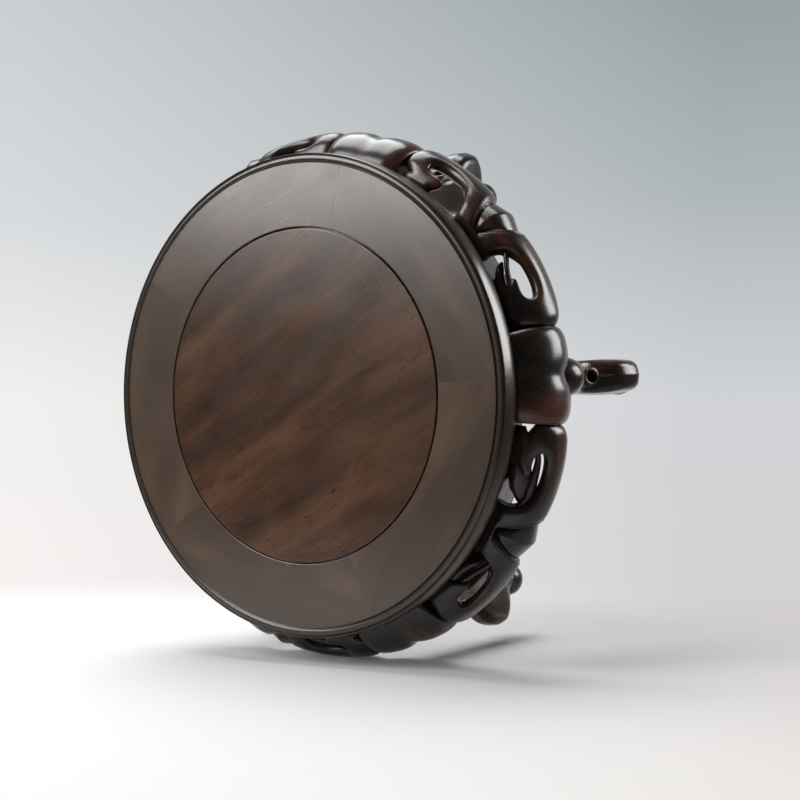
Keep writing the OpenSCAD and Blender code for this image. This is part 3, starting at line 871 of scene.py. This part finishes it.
    def execute(self, context):
        cell = sizes().net_cell / MM
        self.limit = (sizes().shoulder_width - sizes().joint_gap) / MM / 2 / BULGE_R * WALL_SPAN
        verts, quads = surface_net(self.field, (60.5, -18.5, -1.0), (84.5, 18.5, UNDER + 1), cell)
        start = self.eye_at + 0.15 * self.eye_out + 2.6 * self.eye_down
        steps = np.arange(self.crest_steps + 1)
        ridge = [start + (self.crest_end - start) * k / self.crest_steps for k in steps]
        crest = tube_along(ridge, np.interp(steps, [0, 2, 9, self.crest_steps], [0.35, 0.42, 0.34, 0.1]))
        verts, faces = joined((verts, quads), self.eye_ring(), crest)
        for i in range(LEGS):
            angle = FIRST_LEG + i * STEP
            grain = verts[:, [2, 1, 0]] + [150 * i + 60, 63 * i, 37 * i]
            wooden_piece(f"leg_carving_{i + 1}", f"leg_{i + 1}", turned(verts, angle), faces, grain,
                         "carved_hardwood", 50)
        return {"FINISHED"}


class STAND_OT_splines(bpy.types.Operator):
    """Gives the splines inside the frame's joints their wood."""
    bl_idname = "stand.splines"
    bl_label = "Joint splines"

    def execute(self, context):
        for i in range(LEGS):
            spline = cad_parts[f"frame_spline_{i + 1}"]
            spline.data.materials.clear()
            spline.data.materials.append(bpy.data.materials["joinery_hardwood"])
        return {"FINISHED"}


class STAND_OT_stage(bpy.types.Operator):
    """Sets the pale table, the soft lamps, the background and the camera."""
    bl_idname = "stand.stage"
    bl_label = "Stage"

    # Camera: its tilt, roll, distance, focal length in pixels, and where the stand's middle falls in the picture
    tilt, roll = math.radians(34.9), math.radians(-1.46)
    distance, focal, centre, picture = 0.4934, 1600.0, (297.4, 395.7), 800
    # Table: how far it lies from the stand's axis, its height along that axis, and its rings
    table_drop, table_z = 0.0834, 0.04
    table_rings, table_ring, table_sides = 8, 0.06, 48
    # Lamps: the height that they aim at, and how far the key lamp is lifted
    lamp_aim, key_lift = 0.06, math.radians(30)

    def axes(self):
        """The picture's right and up, and the way to the camera."""
        toward = math.sin(self.tilt) * SIDE + math.cos(self.tilt) * AXIS
        flat = math.cos(self.tilt) * SIDE - math.sin(self.tilt) * AXIS
        right = math.cos(self.roll) * flat + math.sin(self.roll) * TABLE_UP
        up = -math.sin(self.roll) * flat + math.cos(self.roll) * TABLE_UP
        return right, up, toward

    def camera(self):
        """Adds the camera."""
        right, up, toward = self.axes()
        data = bpy.data.cameras.new("stand_camera")
        data.sensor_width = 36
        data.lens = self.focal / self.picture * data.sensor_width
        data.clip_start, data.clip_end = 0.01, 50
        eye = added("stand_camera", data)
        ox, oy = ((at - self.picture / 2) / self.focal for at in self.centre)
        place = toward * self.distance - right * ox * self.distance + up * oy * self.distance
        eye.matrix_world = basis(right, up, toward, place + Vector((0, 0, TOP * MM)))
        bpy.context.scene.camera = eye

    def table_top(self):
        """Adds the table, which fades out away from the stand, is clear from behind, and has painted shade that
        darkens it towards the far right.
        """
        material = bpy.data.materials.new("pale_table")
        material.use_nodes = True
        tree = material.node_tree
        tree.nodes.clear()
        place = node(tree, "ShaderNodeTexCoord").outputs["Object"]
        fade = remap(tree, measure(tree, "DISTANCE", place, (-0.05, -0.1, 0)), 0.13, 0.3, 1.0, 0.0, True)
        facing = node(tree, "ShaderNodeNewGeometry").outputs["Backfacing"]
        shown = calc(tree, "MULTIPLY", fade, calc(tree, "SUBTRACT", 1.0, facing))
        # Painted shade: the table's colour darkens towards the right and away from the camera, standing in for light
        # falling off there
        painted_falloff = remap(tree, measure(tree, "DOT_PRODUCT", place, (0.5, 1.0, 0)), -0.02, 0.1, 1.0, 0.78)
        matt = node(tree, "ShaderNodeBsdfDiffuse", {"Color": scaled(tree, tuple(finish().floor), painted_falloff)})
        white = node(tree, "ShaderNodeEmission", {"Color": (1.0, 0.99, 0.98, 1), "Strength": 1.0})
        path = node(tree, "ShaderNodeLightPath")
        direct = calc(tree, "MAXIMUM", path.outputs["Is Camera Ray"], path.outputs["Is Glossy Ray"])
        lift = calc(tree, "MULTIPLY", direct, 0.05)
        pale = node(tree, "ShaderNodeMixShader", {0: lift, 1: matt.outputs[0], 2: white.outputs[0]})
        clear = node(tree, "ShaderNodeBsdfTransparent")
        mix = node(tree, "ShaderNodeMixShader", {0: shown, 1: clear.outputs[0], 2: pale.outputs[0]})
        node(tree, "ShaderNodeOutputMaterial", {"Surface": mix.outputs[0]})
        count = self.table_sides
        verts, faces = [(0.0, 0.0, 0.0)], []
        turn = [2 * math.pi * k / count for k in range(count)]
        for r in (self.table_ring * ring for ring in range(1, self.table_rings + 1)):
            verts += [(r * math.cos(a), r * math.sin(a), 0.0) for a in turn]
        for k in range(count):
            faces.append((0, 1 + k, 1 + (k + 1) % count))
            for ring in range(self.table_rings - 1):
                a, b = 1 + ring * count + k, 1 + ring * count + (k + 1) % count
                faces.append((a, a + count, b + count, b))
        mesh = bpy.data.meshes.new("pale_table")
        mesh.from_pydata(verts, [], faces)
        mesh.materials.append(material)
        top = added("pale_table", mesh)
        at = -self.table_drop * TABLE_UP + Vector((0, 0, self.table_z))
        top.matrix_world = basis(SIDE, TABLE_UP.cross(SIDE), TABLE_UP, at)

    def lamp(self, name, direction, reach, size, watts):
        """Adds a soft lamp that the camera does not see."""
        data = bpy.data.lights.new(name, "AREA")
        data.shape = "RECTANGLE"
        data.size, data.size_y = size
        data.energy = watts
        lamp = added(name, data)
        direction = direction.normalized()
        across = TABLE_UP.cross(direction).normalized()
        place = direction * reach + Vector((0, 0, self.lamp_aim))
        lamp.matrix_world = basis(across, direction.cross(across), direction, place)
        lamp.visible_camera = False
        return lamp

    def background(self):
        """Sets what the camera sees behind the table, and the dimmer room that lights the wood."""
        right, up, toward = self.axes()
        world = bpy.data.worlds.new("stand_room")
        bpy.context.scene.world = world
        world.use_nodes = True
        tree = world.node_tree
        tree.nodes.clear()
        ray = node(tree, "ShaderNodeTexCoord").outputs["Generated"]
        height, across, depth = (measure(tree, "DOT_PRODUCT", ray, tuple(axis)) for axis in (up, right, toward))

        def gradient(low, high, stops):
            return ramp(tree, remap(tree, height, low, high), stops)

        left = gradient(-0.25, 0.25, [
            (0, (0.98, 0.98, 0.97)), (0.3, (0.92, 0.89, 0.88)), (0.5, (0.88, 0.87, 0.86)),
            (0.72, (0.69, 0.71, 0.73)), (1, (0.59, 0.61, 0.62))])
        right_side = gradient(-0.25, 0.25, [
            (0, (0.85, 0.81, 0.78)), (0.22, (0.66, 0.63, 0.64)), (0.5, (0.63, 0.645, 0.67)),
            (0.75, (0.43, 0.47, 0.49)), (1, (0.30, 0.35, 0.36))])
        seen = blend(tree, remap(tree, across, -0.23, 0.19), left, right_side)
        behind = gradient(-0.5, 0.6, [(0, (0.95, 0.94, 0.93)), (0.5, (0.85, 0.85, 0.85)), (1, (0.4, 0.42, 0.44))])
        ahead = gradient(-0.5, 0.3, [
            (0, (0.16, 0.15, 0.14)), (0.45, (0.1, 0.095, 0.09)), (0.65, (0.06, 0.057, 0.055)),
            (1, (0.05, 0.048, 0.046))])
        room = blend(tree, remap(tree, depth, -0.8, -0.3, smooth=True), behind, ahead)
        shade = blend(tree, node(tree, "ShaderNodeLightPath").outputs["Is Camera Ray"], room, seen)
        glow = node(tree, "ShaderNodeBackground", {"Color": shade, "Strength": 1.0})
        node(tree, "ShaderNodeOutputWorld", {"Surface": glow.outputs[0]})

    def execute(self, context):
        self.camera()
        self.table_top()
        self.background()
        mirror = -math.sin(self.tilt) * SIDE + math.cos(self.tilt) * AXIS
        key = math.cos(self.key_lift) * mirror + math.sin(self.key_lift) * TABLE_UP
        self.lamp("key_softbox", key, reach=0.9, size=(0.36, 0.66), watts=7.1)
        overhead = -0.3 * SIDE + 0.93 * TABLE_UP - 0.14 * AXIS
        self.lamp("overhead_softbox", overhead, reach=0.9, size=(0.7, 0.7), watts=10)
        aside = 0.75 * SIDE + 0.39 * TABLE_UP - 0.53 * AXIS
        side = self.lamp("side_softbox", aside, reach=0.5, size=(0.25, 0.28), watts=2.15)
        unlit = bpy.data.collections.new("side_softbox_leaves_out")
        unlit.objects.link(bpy.data.objects["pale_table"])
        unlit.collection_objects[0].light_linking.link_state = "EXCLUDE"
        side.light_linking.receiver_collection = unlit
        context.scene.view_settings.view_transform = "Standard"
        return {"FINISHED"}


class STAND_PT_panel(bpy.types.Panel):
    """Lists the stand's pieces in the sidebar."""
    bl_idname = "STAND_PT_panel"
    bl_label = "Hardwood stand"
    bl_space_type = "VIEW_3D"
    bl_region_type = "UI"
    bl_category = "Stand"

    def draw(self, context):
        for step in STEPS:
            self.layout.operator(step.bl_idname)
        for settings in (context.scene.stand_sizes, context.scene.stand_finish):
            box = self.layout.box()
            for key in settings.__annotations__:
                box.prop(settings, key)


STEPS = (STAND_OT_finishes, STAND_OT_panel, STAND_OT_frame, STAND_OT_aprons, STAND_OT_legs, STAND_OT_splines,
         STAND_OT_stage)
CLASSES = (StandSizes, StandFinish) + STEPS + (STAND_PT_panel,)


def register():
    for each in CLASSES:
        bpy.utils.register_class(each)
    bpy.types.Scene.stand_sizes = bpy.props.PointerProperty(type=StandSizes)
    bpy.types.Scene.stand_finish = bpy.props.PointerProperty(type=StandFinish)


def unregister():
    del bpy.types.Scene.stand_finish
    del bpy.types.Scene.stand_sizes
    for each in reversed(CLASSES):
        bpy.utils.unregister_class(each)


def main():
    register()
    bpy.ops.stand.finishes()
    bpy.ops.stand.panel()
    bpy.ops.stand.frame()
    bpy.ops.stand.aprons()
    bpy.ops.stand.legs()
    bpy.ops.stand.splines()
    bpy.ops.stand.stage()


if __name__ == "__main__":
    main()
